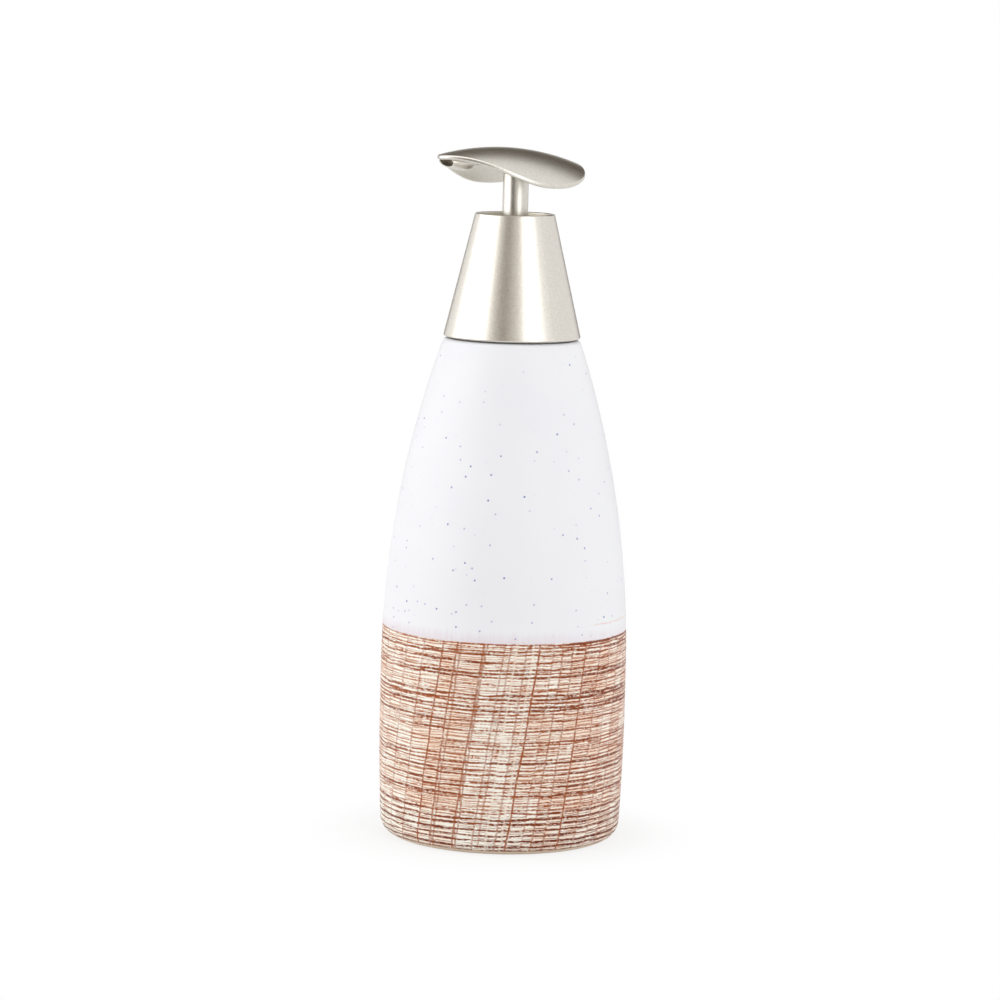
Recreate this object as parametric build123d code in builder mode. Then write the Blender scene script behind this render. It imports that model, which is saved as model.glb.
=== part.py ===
from build123d import *

import os
from math import cos, radians, sin, sqrt

# Soap pump dispenser: a glazed stoneware bottle, a cone-shaped screw collar and a press-down pump.
# Its leaf-shaped head pours from a spout under the tip.
# Millimetres, +Z up, origin at the centre of the foot, spout towards -Y.

# Fits that several pieces share: the gap of a press fit, and how deep a rib's root stands in its wall
press_gap = 0.05
root_sink = 0.2

# Bottle: outside
total_height = 196.0
base_radius = 34.2
belly_radius = 35.0
base_edge_z = 4.4
belly_low_z = 36.0
belly_high_z = 48.0
shoulder_radius = 19.65
shoulder_z = 140.9
ledge_radius = 18.45
ledge_z = 142.0
foot_radius = 30.2
foot_recess_radius = 25.8
foot_recess_depth = 1.2
foot_recess_slope = 1.0

# Bottle: inside
bottle_wall = 3.0
floor_z = 5.2
floor_corner = 4.0
neck_hole_radius = 11.7
neck_underside_z = 137.6
inner_top_z = 134.0

# Neck insert and its thread
insert_bore_radius = 9.2
insert_plug_radius = 11.5
insert_plug_length = 5.0
insert_flange_radius = 15.5
insert_flange_height = 1.4
neck_top_z = 155.0
thread_pitch = 3.175
thread_root_half_width = 0.75
thread_crest_half_width = 0.35
neck_thread_root_radius = 10.9
neck_thread_crest_radius = 12.0
neck_thread_start_z = 147.0
neck_thread_turns = 1.5
cap_thread_root_radius = 12.35
cap_thread_crest_radius = 11.25
cap_thread_drop = 1.2
cap_thread_turns = 1.125

# Cone collar, the screw cap inside it and the bush at its top
collar_bottom_z = 142.5
collar_top_z = 177.3
collar_bottom_radius = 19.45
collar_top_radius = 11.2
collar_wall = 0.95
collar_rim_round = 0.35
cap_bottom_z = 144.0
cap_plate_z = 158.0
cap_plate_height = 1.4
cap_skirt_radius = 13.9
cap_hole_radius = 7.8
cap_rib_count = 8
cap_rib_half_width = 0.6
bush_top_z = 175.2
bush_plate_height = 1.8
bush_hub_height = 2.6
bush_hub_radius = 5.6
bush_hole_radius = 3.7

# Pump housing, gasket and dip tube
gasket_height = 1.4
gasket_radius = 11.3
gasket_hole_radius = 7.9
housing_flange_height = 1.4
housing_radius = 7.6
housing_bore_radius = 6.5
chamber_floor_z = 103.0
tail_top_z = 96.5
tail_bottom_z = 86.0
tail_radius = 3.9
tail_shoulder_radius = 4.6
tube_socket_radius = 2.75
tube_socket_top_z = 95.5
inlet_radius = 1.5
ball_seat_z = 97.0
ball_pocket_radius = 3.4
vent_radius = 0.6
vent_z = 146.0
dip_tube_radius = 2.7
dip_tube_bore_radius = 1.9
dip_tube_top_z = 95.3
dip_tube_bottom_z = 7.0

# Inlet ball and its cage
ball_radius = 2.4
ball_seat_gap = 0.03
cage_radius = 6.4
cage_height = 1.2
cage_rim_radius = 5.6
cage_rim_height = 1.4
cage_hole_radius = 0.9
cage_hole_ring = 2.2
cage_hole_count = 4

# Chaplet, the plug that guides the stem, and its wiper
chaplet_plug_radius = 6.45
chaplet_bottom_z = 149.2
chaplet_neck_radius = 7.5
chaplet_neck_height = 1.8
chaplet_flange_radius = 9.0
chaplet_flange_height = 1.4
chaplet_guide_radius = 3.0
wiper_recess_radius = 5.0
wiper_recess_depth = 1.6
wiper_radius = 4.95
wiper_hole_radius = 2.98
wiper_height = 1.4

# Stem, piston seat, piston and return spring
seat_disc_z = 127.0
seat_disc_height = 1.4
seat_disc_radius = 4.7
seat_boss_radius = 3.6
seat_boss_height = 1.8
seat_shaft_radius = 1.9
seat_spigot_radius = 1.55
seat_spigot_height = 8.0
seat_bore_radius = 0.95
seat_port_radius = 0.6
stem_bottom_z = 137.7
stem_top_z = 190.8
stem_radius = 2.9
stem_bore_radius = 1.6
stem_upper_radius = 2.4
stem_step_z = 173.5
stop_collar_radius = 4.6
stop_collar_height = 2.0
stop_collar_gap = 0.2
piston_gap = 0.05
piston_height = 7.55
piston_hub_radius = 3.4
piston_bore_radius = 1.98
piston_lip_radius = 6.45
piston_waist_radius = 6.2
piston_skirt_inner_radius = 5.5
piston_skirt_inset = 0.8
piston_web_half_height = 0.75
spring_radius = 4.3
spring_wire_radius = 0.5
spring_turns = 6.5
spring_seat_gap = 0.05

# Head: stem sleeve, leaf blade, spout nose and liner
sleeve_radius = 3.6
sleeve_bore_radius = 3.0
sleeve_bottom_z = 172.0
sleeve_top_z = 190.4
leaf_half_width = 16.8
leaf_tip_reach = 26.4
leaf_tail_reach = 19.1
leaf_widest_reach = 0.9
leaf_tip_fullness = 0.65
leaf_tip_bluntness = 0.14
leaf_tail_fullness = 0.73
leaf_tail_bluntness = 0.65
blade_thickness = 1.25
lip_round = 0.5
ridge_radius = 81.0
ridge_apex_reach = 7.0
arch_radius = 19.7
head_low_z = 176.0
head_block_height = 24.0
boss_radius = 4.9
boss_bottom_z = 189.6
boss_top_z = 194.5
boss_bore_radius = 3.65
boss_bore_top_z = 194.0
channel_radius = 1.85
nose_back_reach = 14.5
nose_back_radius = 1.75
nose_belly_reach = 20.6
nose_belly_half_width = 4.2
nose_belly_half_height = 2.35
nose_lip_reach = 23.6
nose_lip_half_width = 3.8
nose_lip_half_height = 1.6
nose_end_reach = 27.0
nose_end_z = 192.1
nose_end_half_width = 1.5
nose_end_half_height = 0.95
mouth_reach = 24.3
mouth_z = 191.95
mouth_half_width = 3.0
mouth_half_height = 1.35
mouth_chamber_reach = 20.0
mouth_bore_end_reach = 25.05
mouth_tilt = 26.6
liner_radius = 1.3
liner_bore_radius = 0.85
liner_z = 192.6
liner_end_reach = 19.5
liner_socket_radius = 2.95
liner_socket_bore_radius = 2.45
liner_socket_bottom_z = 174.0
liner_plug_radius = 3.6
liner_plug_bottom_z = 190.45
liner_plug_top_z = 193.95
liner_chamber_z = 191.0
liner_chamber_top_z = 193.4

# Sizes that follow from the ones above
shoulder_rise = shoulder_z - belly_high_z
shoulder_drop = belly_radius - shoulder_radius
shoulder_curve = (shoulder_rise**2 + shoulder_drop**2) / (2 * shoulder_drop)
shoulder_centre_radius = belly_radius - shoulder_curve
inner_curve = shoulder_curve - bottle_wall
inner_top_radius = shoulder_centre_radius + sqrt(inner_curve**2 - (inner_top_z - belly_high_z) ** 2)
inner_radius = belly_radius - bottle_wall
insert_plug_bottom_z = ledge_z - insert_plug_length
insert_flange_top_z = ledge_z + insert_flange_height
collar_taper = (collar_bottom_radius - collar_top_radius) / (collar_top_z - collar_bottom_z)
cap_top_z = cap_plate_z + cap_plate_height
bush_plate_z = bush_top_z - bush_plate_height
gasket_top_z = neck_top_z + gasket_height
housing_top_z = gasket_top_z + housing_flange_height
pocket_base_z = ball_seat_z + ball_pocket_radius - inlet_radius
ball_centre_z = ball_seat_z + ball_radius * sqrt(2) - inlet_radius + ball_seat_gap
cage_top_z = chamber_floor_z + cage_height
chaplet_flange_z = housing_top_z + chaplet_neck_height
chaplet_top_z = chaplet_flange_z + chaplet_flange_height
wiper_z = chaplet_top_z - wiper_recess_depth
seat_top_z = seat_disc_z + seat_disc_height
seat_bore_z = seat_top_z + seat_port_radius
piston_bottom_z = seat_top_z + piston_gap
piston_top_z = piston_bottom_z + piston_height
piston_mid_z = (piston_bottom_z + piston_top_z) / 2
stop_top_z = chaplet_bottom_z - stop_collar_gap
stop_bottom_z = stop_top_z - stop_collar_height
spring_bottom_z = cage_top_z + spring_wire_radius + spring_seat_gap
spring_height = seat_disc_z - spring_wire_radius - spring_seat_gap - spring_bottom_z
ridge_axis_z = total_height - ridge_radius
ridge_throw = ridge_radius - arch_radius
mouth_normal = (0, -cos(radians(mouth_tilt)), -sin(radians(mouth_tilt)))


def cone_inside(height):
    """Radius of the collar's inner face at a height, less the gap to what is pressed into it."""
    return collar_bottom_radius - collar_taper * (height - collar_bottom_z) - collar_wall - press_gap


def radial_plane(turn):
    """Upright plane through the axis: local x points outwards at the turn, local y points up."""
    angle = radians(turn)
    return Plane((0, 0, 0), x_dir=(cos(angle), sin(angle), 0), z_dir=(sin(angle), -cos(angle), 0))


def leaf_side(end_reach, fullness, bluntness):
    """Curve from the leaf's widest place to one end: full along the side, blunt across the end."""
    shoulder_reach = leaf_widest_reach + fullness * (end_reach - leaf_widest_reach)
    return (
        (leaf_half_width, -leaf_widest_reach),
        (leaf_half_width, -shoulder_reach),
        (bluntness * leaf_half_width, -end_reach),
        (0, -end_reach),
    )


def thread_ridge(root_radius, crest_radius, start_z, turns):
    """One right-hand thread ridge, whose foot sinks a little into the wall it stands on."""
    depth = crest_radius - root_radius
    foot = -root_sink if depth > 0 else root_sink
    with BuildPart() as ridge:
        with BuildLine() as path:
            Helix(thread_pitch, turns * thread_pitch, root_radius, center=(0, 0, start_z))
        with BuildSketch(Plane(path.line @ 0, x_dir=(1, 0, 0), z_dir=path.line % 0)):
            with BuildLine():
                Polyline(
                    (foot, -thread_root_half_width),
                    (depth, -thread_crest_half_width),
                    (depth, thread_crest_half_width),
                    (foot, thread_root_half_width),
                    close=True,
                )
            make_face()
        sweep(path=path.line, is_frenet=True)
    return ridge.part


# Bottle: one thick stoneware wall, a foot ring, a slender shoulder and a ledge for the neck insert
with BuildPart() as bottle_body:
    with BuildSketch(Plane.XZ):
        with BuildLine():
            underside = Polyline(
                (0, foot_recess_depth),
                (foot_recess_radius, foot_recess_depth),
                (foot_recess_radius + foot_recess_slope, 0),
                (foot_radius, 0),
            )
            barrel = TangentArc((belly_radius, belly_low_z), (base_radius, base_edge_z), tangent=(0, -1))
            TangentArc(barrel @ 1, underside @ 1, tangent=barrel % 1)
            Line((belly_radius, belly_low_z), (belly_radius, belly_high_z))
            shoulder = TangentArc((belly_radius, belly_high_z), (shoulder_radius, shoulder_z), tangent=(0, 1))
            TangentArc(shoulder @ 1, (ledge_radius, ledge_z), tangent=shoulder % 1)
            Polyline(
                (ledge_radius, ledge_z),
                (neck_hole_radius, ledge_z),
                (neck_hole_radius, neck_underside_z),
                (inner_top_radius, inner_top_z),
            )
            TangentArc((inner_radius, belly_high_z), (inner_top_radius, inner_top_z), tangent=(0, 1))
            Line((inner_radius, belly_high_z), (inner_radius, floor_z + floor_corner))
            TangentArc(
                (inner_radius, floor_z + floor_corner), (inner_radius - floor_corner, floor_z), tangent=(0, -1)
            )
            Polyline((inner_radius - floor_corner, floor_z), (0, floor_z), (0, foot_recess_depth))
        make_face()
    revolve(axis=Axis.Z)

# Neck insert: plastic plug glued into the neck hole, with the screw thread on its stub
neck_ridge = thread_ridge(
    neck_thread_root_radius, neck_thread_crest_radius, neck_thread_start_z, neck_thread_turns
)
with BuildPart() as neck_insert:
    with BuildSketch(Plane.XZ):
        with BuildLine():
            Polyline(
                (insert_bore_radius, insert_plug_bottom_z),
                (insert_plug_radius, insert_plug_bottom_z),
                (insert_plug_radius, ledge_z),
                (insert_flange_radius, ledge_z),
                (insert_flange_radius, insert_flange_top_z),
                (neck_thread_root_radius, insert_flange_top_z),
                (neck_thread_root_radius, neck_top_z),
                (insert_bore_radius, neck_top_z),
                close=True,
            )
        make_face()
    revolve(axis=Axis.Z)
    add(neck_ridge)

# Neck gasket: soft ring between the neck and the pump's flange
with BuildPart() as neck_gasket:
    with BuildSketch(Plane.XY.offset(neck_top_z)):
        Circle(gasket_radius)
        Circle(gasket_hole_radius, mode=Mode.SUBTRACT)
    extrude(amount=gasket_height)

# Pump housing: cylinder with a flange at the top, a ball seat below and a socket for the dip tube
with BuildPart() as pump_housing:
    with BuildSketch(Plane.XZ):
        with BuildLine():
            Polyline(
                (housing_bore_radius, housing_top_z),
                (gasket_radius, housing_top_z),
                (gasket_radius, gasket_top_z),
                (housing_radius, gasket_top_z),
                (housing_radius, chamber_floor_z),
                (tail_shoulder_radius, tail_top_z),
                (tail_radius, tail_top_z),
                (tail_radius, tail_bottom_z),
                (tube_socket_radius, tail_bottom_z),
                (tube_socket_radius, tube_socket_top_z),
                (inlet_radius, tube_socket_top_z),
                (inlet_radius, ball_seat_z),
                (ball_pocket_radius, pocket_base_z),
                (ball_pocket_radius, chamber_floor_z),
                (housing_bore_radius, chamber_floor_z),
                close=True,
            )
        make_face()
    revolve(axis=Axis.Z)
    with BuildSketch(Plane.YZ):
        with Locations((0, vent_z)):
            Circle(vent_radius)
    extrude(amount=housing_radius, mode=Mode.SUBTRACT)

# Dip tube: reaches almost to the bottle's floor, with a slanted end that can't seal against it
with BuildPart() as dip_tube:
    with BuildSketch(Plane.XY.offset(dip_tube_bottom_z)):
        Circle(dip_tube_radius)
        Circle(dip_tube_bore_radius, mode=Mode.SUBTRACT)
    extrude(amount=dip_tube_top_z - dip_tube_bottom_z)
    split(
        bisect_by=Plane((0, 0, dip_tube_bottom_z + dip_tube_radius), z_dir=(1, 0, 1)),
        keep=Keep.TOP,
    )

# Inlet ball: steel check valve that rests on the housing's cone seat
with BuildPart() as inlet_ball:
    with Locations((0, 0, ball_centre_z)):
        Sphere(ball_radius)

# Ball cage: perforated disc that stops the ball and carries the spring
with BuildPart() as ball_cage:
    with BuildSketch(Plane.XY.offset(chamber_floor_z)):
        Circle(cage_radius)
        with PolarLocations(cage_hole_ring, cage_hole_count):
            Circle(cage_hole_radius, mode=Mode.SUBTRACT)
    extrude(amount=cage_height)
    with BuildSketch(Plane.XY.offset(cage_top_z)):
        Circle(cage_radius)
        Circle(cage_rim_radius, mode=Mode.SUBTRACT)
    extrude(amount=cage_rim_height)

# Return spring: one round wire wound between the cage and the piston seat
with BuildPart() as return_spring:
    with BuildLine() as coil:
        Helix(spring_height / spring_turns, spring_height, spring_radius, center=(0, 0, spring_bottom_z))
    with BuildSketch(Plane(coil.line @ 0, x_dir=(1, 0, 0), z_dir=coil.line % 0)):
        Circle(spring_wire_radius)
    sweep(path=coil.line, is_frenet=True)

# Chaplet: plug pressed into the housing that guides the stem and holds the screw cap captive
with BuildPart() as chaplet:
    with BuildSketch(Plane.XZ):
        with BuildLine():
            Polyline(
                (chaplet_guide_radius, chaplet_bottom_z),
                (chaplet_plug_radius, chaplet_bottom_z),
                (chaplet_plug_radius, housing_top_z),
                (chaplet_neck_radius, housing_top_z),
                (chaplet_neck_radius, chaplet_flange_z),
                (chaplet_flange_radius, chaplet_flange_z),
                (chaplet_flange_radius, chaplet_top_z),
                (wiper_recess_radius, chaplet_top_z),
                (wiper_recess_radius, wiper_z),
                (chaplet_guide_radius, wiper_z),
                close=True,
            )
        make_face()
    revolve(axis=Axis.Z)

# Stem wiper: soft ring in the chaplet that strips soap off the stem
with BuildPart() as stem_wiper:
    with BuildSketch(Plane.XY.offset(wiper_z)):
        Circle(wiper_radius)
        Circle(wiper_hole_radius, mode=Mode.SUBTRACT)
    extrude(amount=wiper_height)

# Piston seat: disc and shaft under the stem, with a cross port that the piston covers
with BuildPart() as piston_seat:
    with BuildSketch(Plane.XZ):
        with BuildLine():
            Polyline(
                (0, seat_disc_z - seat_boss_height),
                (seat_boss_radius, seat_disc_z - seat_boss_height),
                (seat_boss_radius, seat_disc_z),
                (seat_disc_radius, seat_disc_z),
                (seat_disc_radius, seat_top_z),
                (seat_shaft_radius, seat_top_z),
                (seat_shaft_radius, stem_bottom_z),
                (seat_spigot_radius, stem_bottom_z),
                (seat_spigot_radius, stem_bottom_z + seat_spigot_height),
                (seat_bore_radius, stem_bottom_z + seat_spigot_height),
                (seat_bore_radius, seat_bore_z),
                (0, seat_bore_z),
                close=True,
            )
        make_face()
    revolve(axis=Axis.Z)
    with BuildSketch(Plane.YZ):
        with Locations((0, seat_bore_z + seat_port_radius)):
            Circle(seat_port_radius)
    extrude(amount=seat_shaft_radius, both=True, mode=Mode.SUBTRACT)

# Piston: sliding seal with two flared lips, which slips on the shaft to open and close the port
with BuildPart() as piston:
    with BuildSketch(Plane.XZ):
        with BuildLine():
            Polyline(
                (piston_bore_radius, piston_bottom_z),
                (piston_hub_radius, piston_bottom_z),
                (piston_hub_radius, piston_mid_z - piston_web_half_height),
                (piston_skirt_inner_radius, piston_mid_z - piston_web_half_height),
                (piston_skirt_inner_radius, piston_bottom_z + piston_skirt_inset),
                (piston_lip_radius, piston_bottom_z + piston_skirt_inset),
                (piston_waist_radius, piston_mid_z - piston_web_half_height),
                (piston_waist_radius, piston_mid_z + piston_web_half_height),
                (piston_lip_radius, piston_top_z - piston_skirt_inset),
                (piston_skirt_inner_radius, piston_top_z - piston_skirt_inset),
                (piston_skirt_inner_radius, piston_mid_z + piston_web_half_height),
                (piston_hub_radius, piston_mid_z + piston_web_half_height),
                (piston_hub_radius, piston_top_z),
                (piston_bore_radius, piston_top_z),
                close=True,
            )
        make_face()
    revolve(axis=Axis.Z)

# Pump stem: hollow rod with a stop collar under the chaplet and a slimmer end inside the head
with BuildPart() as pump_stem:
    with BuildSketch(Plane.XZ):
        with BuildLine():
            Polyline(
                (stem_bore_radius, stem_bottom_z),
                (stem_radius, stem_bottom_z),
                (stem_radius, stop_bottom_z),
                (stop_collar_radius, stop_bottom_z),
                (stop_collar_radius, stop_top_z),
                (stem_radius, stop_top_z),
                (stem_radius, stem_step_z),
                (stem_upper_radius, stem_step_z),
                (stem_upper_radius, stem_top_z),
                (stem_bore_radius, stem_top_z),
                close=True,
            )
        make_face()
    revolve(axis=Axis.Z)

# Screw cap: threaded skirt inside the cone, with ribs that carry the cone and a plate over the flange
cap_ridge = thread_ridge(
    cap_thread_root_radius, cap_thread_crest_radius, neck_thread_start_z - cap_thread_drop, cap_thread_turns
)
with BuildPart() as screw_cap:
    with BuildSketch(Plane.XZ):
        with BuildLine():
            Polyline(
                (cap_hole_radius, cap_plate_z),
                (cap_thread_root_radius, cap_plate_z),
                (cap_thread_root_radius, cap_bottom_z),
                (cap_skirt_radius, cap_bottom_z),
                (cap_skirt_radius, cap_plate_z),
                (cone_inside(cap_plate_z), cap_plate_z),
                (cone_inside(cap_top_z), cap_top_z),
                (cap_hole_radius, cap_top_z),
                close=True,
            )
        make_face()
    revolve(axis=Axis.Z)
    for rib in range(cap_rib_count):
        with BuildSketch(radial_plane(360 * rib / cap_rib_count)):
            with BuildLine():
                Polyline(
                    (cap_skirt_radius - root_sink, cap_bottom_z),
                    (cone_inside(cap_bottom_z), cap_bottom_z),
                    (cone_inside(cap_plate_z), cap_plate_z),
                    (cap_skirt_radius - root_sink, cap_plate_z),
                    close=True,
                )
            make_face()
        extrude(amount=cap_rib_half_width, both=True)
    add(cap_ridge)

# Collar cover: thin plated cone, open at the top, with both rims rounded
with BuildPart() as collar_cover:
    with BuildSketch(Plane.XZ):
        with BuildLine():
            Polyline(
                (collar_bottom_radius, collar_bottom_z),
                (collar_top_radius, collar_top_z),
                (collar_top_radius - collar_wall, collar_top_z),
                (collar_bottom_radius - collar_wall, collar_bottom_z),
                close=True,
            )
        make_face()
    revolve(axis=Axis.Z)
    fillet(collar_cover.edges().filter_by(GeomType.CIRCLE), collar_rim_round)

# Stem bush: recessed disc in the cone's mouth that steadies the sleeve
with BuildPart() as stem_bush:
    with BuildSketch(Plane.XZ):
        with BuildLine():
            Polyline(
                (bush_hole_radius, bush_plate_z - bush_hub_height),
                (bush_hub_radius, bush_plate_z - bush_hub_height),
                (bush_hub_radius, bush_plate_z),
                (cone_inside(bush_plate_z), bush_plate_z),
                (cone_inside(bush_top_z), bush_top_z),
                (bush_hole_radius, bush_top_z),
                close=True,
            )
        make_face()
    revolve(axis=Axis.Z)

# Stem sleeve: plated tube that shows between the collar and the head
with BuildPart() as stem_sleeve:
    with BuildSketch(Plane.XY.offset(sleeve_bottom_z)):
        Circle(sleeve_radius)
        Circle(sleeve_bore_radius, mode=Mode.SUBTRACT)
    extrude(amount=sleeve_top_z - sleeve_bottom_z)

# Leaf outline seen from above: pointed at the tip, full at the sides and blunt at the tail
with BuildSketch(Plane.XY.offset(head_low_z)) as leaf_outline:
    with BuildLine() as leaf_edge:
        Bezier(*leaf_side(leaf_tip_reach, leaf_tip_fullness, leaf_tip_bluntness))
        Bezier(*leaf_side(-leaf_tail_reach, leaf_tail_fullness, leaf_tail_bluntness))
        mirror(about=Plane.YZ)
    make_face()

# Spout nose: wide bulb under the leaf's tip, cut off at the mouth, and the channel that feeds it
with BuildPart() as spout_nose:
    with BuildSketch(Plane.XZ.offset(nose_back_reach)):
        with Locations((0, liner_z)):
            Circle(nose_back_radius)
    with BuildSketch(Plane.XZ.offset(nose_belly_reach)):
        with Locations((0, mouth_z)):
            Ellipse(nose_belly_half_width, nose_belly_half_height)
    with BuildSketch(Plane.XZ.offset(nose_lip_reach)):
        with Locations((0, mouth_z)):
            Ellipse(nose_lip_half_width, nose_lip_half_height)
    with BuildSketch(Plane.XZ.offset(nose_end_reach)):
        with Locations((0, nose_end_z)):
            Ellipse(nose_end_half_width, nose_end_half_height)
    loft()
    split(bisect_by=Plane((0, -mouth_reach, mouth_z), z_dir=mouth_normal), keep=Keep.BOTTOM)
    with BuildSketch(Plane.XZ):
        with Locations((0, liner_z)):
            Circle(channel_radius)
    extrude(amount=nose_belly_reach)

# Pump head: leaf blade, boss and nose in one moulding, bored for the liner
# The blade's cross arch is swung about a low axis to give the ridge its curve, and its lip is round
with BuildPart() as pump_head:
    with BuildSketch(Plane.XZ.offset(ridge_apex_reach)):
        with Locations((0, ridge_axis_z - ridge_throw)):
            Circle(arch_radius)
            Circle(arch_radius - blade_thickness, mode=Mode.SUBTRACT)
    revolve(axis=Axis((0, -ridge_apex_reach, ridge_axis_z), (1, 0, 0)))
    extrude(leaf_outline.sketch, amount=head_block_height, mode=Mode.INTERSECT)
    fillet(pump_head.edges().filter_by(Axis.Z, reverse=True), lip_round)
    with BuildSketch(Plane.XY.offset(boss_bottom_z)):
        Circle(boss_radius)
    extrude(amount=boss_top_z - boss_bottom_z)
    add(spout_nose.part)
    with BuildSketch(Plane.XY.offset(boss_bottom_z)):
        Circle(boss_bore_radius)
    extrude(amount=boss_bore_top_z - boss_bottom_z, mode=Mode.SUBTRACT)
    with BuildSketch(Plane.XZ):
        with Locations((0, liner_z)):
            Circle(liner_radius + press_gap)
    extrude(amount=mouth_chamber_reach, mode=Mode.SUBTRACT)
    with BuildSketch(Plane.XZ.offset(mouth_chamber_reach)):
        with Locations((0, mouth_z)):
            Ellipse(mouth_half_width, mouth_half_height)
    extrude(amount=mouth_bore_end_reach - mouth_chamber_reach, mode=Mode.SUBTRACT)

# Spout liner: plastic elbow from the stem's end along the nose
with BuildPart() as spout_liner:
    with BuildSketch(Plane.XZ):
        with BuildLine():
            Polyline(
                (0, liner_plug_top_z),
                (liner_plug_radius, liner_plug_top_z),
                (liner_plug_radius, liner_plug_bottom_z),
                (liner_socket_radius, liner_plug_bottom_z),
                (liner_socket_radius, liner_socket_bottom_z),
                (liner_socket_bore_radius, liner_socket_bottom_z),
                (liner_socket_bore_radius, liner_chamber_z),
                (stem_bore_radius, liner_chamber_z),
                (stem_bore_radius, liner_chamber_top_z),
                (0, liner_chamber_top_z),
                close=True,
            )
        make_face()
    revolve(axis=Axis.Z)
    with BuildSketch(Plane.XZ.offset(liner_socket_radius)):
        with Locations((0, liner_z)):
            Circle(liner_radius)
    extrude(amount=liner_end_reach - liner_socket_radius)
    with BuildSketch(Plane.XZ):
        with Locations((0, liner_z)):
            Circle(liner_bore_radius)
    extrude(amount=liner_end_reach, mode=Mode.SUBTRACT)

pieces = {
    "bottle_body": bottle_body,
    "neck_insert": neck_insert,
    "neck_gasket": neck_gasket,
    "pump_housing": pump_housing,
    "dip_tube": dip_tube,
    "inlet_ball": inlet_ball,
    "ball_cage": ball_cage,
    "return_spring": return_spring,
    "chaplet": chaplet,
    "stem_wiper": stem_wiper,
    "piston_seat": piston_seat,
    "piston": piston,
    "pump_stem": pump_stem,
    "screw_cap": screw_cap,
    "collar_cover": collar_cover,
    "stem_bush": stem_bush,
    "stem_sleeve": stem_sleeve,
    "pump_head": pump_head,
    "spout_liner": spout_liner,
}
os.makedirs("parts", exist_ok=True)
for name, piece in pieces.items():
    piece.part.label = name
    export_step(piece.part, f"parts/{name}.step")
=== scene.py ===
import math

import bpy
import numpy as np
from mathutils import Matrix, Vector


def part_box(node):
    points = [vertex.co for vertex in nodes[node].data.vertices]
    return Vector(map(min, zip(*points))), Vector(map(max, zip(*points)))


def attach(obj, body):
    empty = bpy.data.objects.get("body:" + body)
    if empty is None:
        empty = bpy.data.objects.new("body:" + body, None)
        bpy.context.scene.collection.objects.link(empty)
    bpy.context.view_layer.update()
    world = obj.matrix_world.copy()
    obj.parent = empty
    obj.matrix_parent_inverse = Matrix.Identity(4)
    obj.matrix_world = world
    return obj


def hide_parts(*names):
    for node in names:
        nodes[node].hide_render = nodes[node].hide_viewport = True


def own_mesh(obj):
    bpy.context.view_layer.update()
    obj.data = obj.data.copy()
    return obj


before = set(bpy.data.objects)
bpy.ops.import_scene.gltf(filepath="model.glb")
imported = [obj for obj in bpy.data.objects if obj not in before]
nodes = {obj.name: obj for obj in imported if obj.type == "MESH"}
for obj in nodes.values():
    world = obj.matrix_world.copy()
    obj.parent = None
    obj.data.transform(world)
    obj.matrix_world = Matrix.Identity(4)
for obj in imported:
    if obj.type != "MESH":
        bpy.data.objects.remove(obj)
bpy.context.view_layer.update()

# Lengths in this script are millimetres until a mesh, lamp or pattern is made from them
MM = 0.001

# Camera: the side, height and lens of the reference view
CAMERA_TURN = 53.0
CAMERA_REACH = 1098.0
CAMERA_HEIGHT = 237.0
CAMERA_PITCH = 7.4
CAMERA_ROLL = 1.5
CAMERA_LENS = 140.3
CAMERA_SENSOR = 36.0
CAMERA_SHIFT = (-0.0075, 0.0055)

# Studio: the height on the object that lamps and cards face, the ground's radius, sides and shaded ring,
# how white that ring is, how bright the ground is in reflections, and how bright the air is in the shade
AIM_HEIGHT = 100.0
GROUND_REACH = 20000.0
GROUND_SIDES = 64
GROUND_SHADE = (28.0, 60.0)
SHADED_WHITE = 0.8
GROUND_MIRRORED = 0.93
AIR_FILL = 0.46

# Stoneware bottle: the outline of the body, from the foot to the neck and back down inside, and the gap
# about the axis that a fan closes
FOOT_RADIUS = 30.2
FOOT_RECESS_RADIUS = 25.8
FOOT_RECESS_DEPTH = 1.2
FOOT_RECESS_SLOPE = 1.0
BASE_EDGE = (34.2, 4.4)
BELLY_LOW = (35.0, 36.0)
BELLY_HIGH = (35.0, 48.0)
SHOULDER = (19.65, 140.9)
LEDGE = (18.45, 142.0)
NECK_HOLE_RADIUS = 11.7
NECK_UNDERSIDE = 137.6
WALL = 3.0
INNER_TOP = 134.0
FLOOR = 5.2
FLOOR_CORNER = 4.0
AXIS_GAP = 0.5

# Mesh of the bottle: columns round it, rows up its outside, the crease that stays sharp, in degrees,
# and how much of its map the band and the unseen inside take for their length
BOTTLE_COLUMNS = 288
BAND_ROW_STEP = 0.26
UPPER_ROW_STEP = 2.0
BROW_ROWS = 7
SHARP_CREASE = 40
BAND_MAP_SHARE = 4.0
BAND_MAP_TOP = 64.2
HIDDEN_MAP_SHARE = 0.3

# Return spring: the radius of its wire, its turns, and the points along each turn and round the wire
SPRING_WIRE_RADIUS = 0.5
SPRING_TURNS = 6.5
SPRING_TURN_STEPS = 40
SPRING_WIRE_SIDES = 12

# Brushed band: strokes round the bottle, further apart at its foot, and one stray stroke above
BAND_SEED = 11
BAND_TOP = 60.2
BAND_EDGE = 0.3
STROKE_GAPS = (0.8, 1.25)
LOW_STROKE_GAPS = (1.35, 1.75)
LOW_STROKES_TOP = 12.5
LOWEST_STROKE = 2.3
STRAY_STROKE = 64.4
STROKE_RIPPLE = 0.28
STROKE_SHIFT = 0.07
STROKE_DEPTH = 0.12
STROKE_HALF_WIDTH = 0.4
GROOVES_START = 0.8
GROOVES_RISE = 2.0

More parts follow.
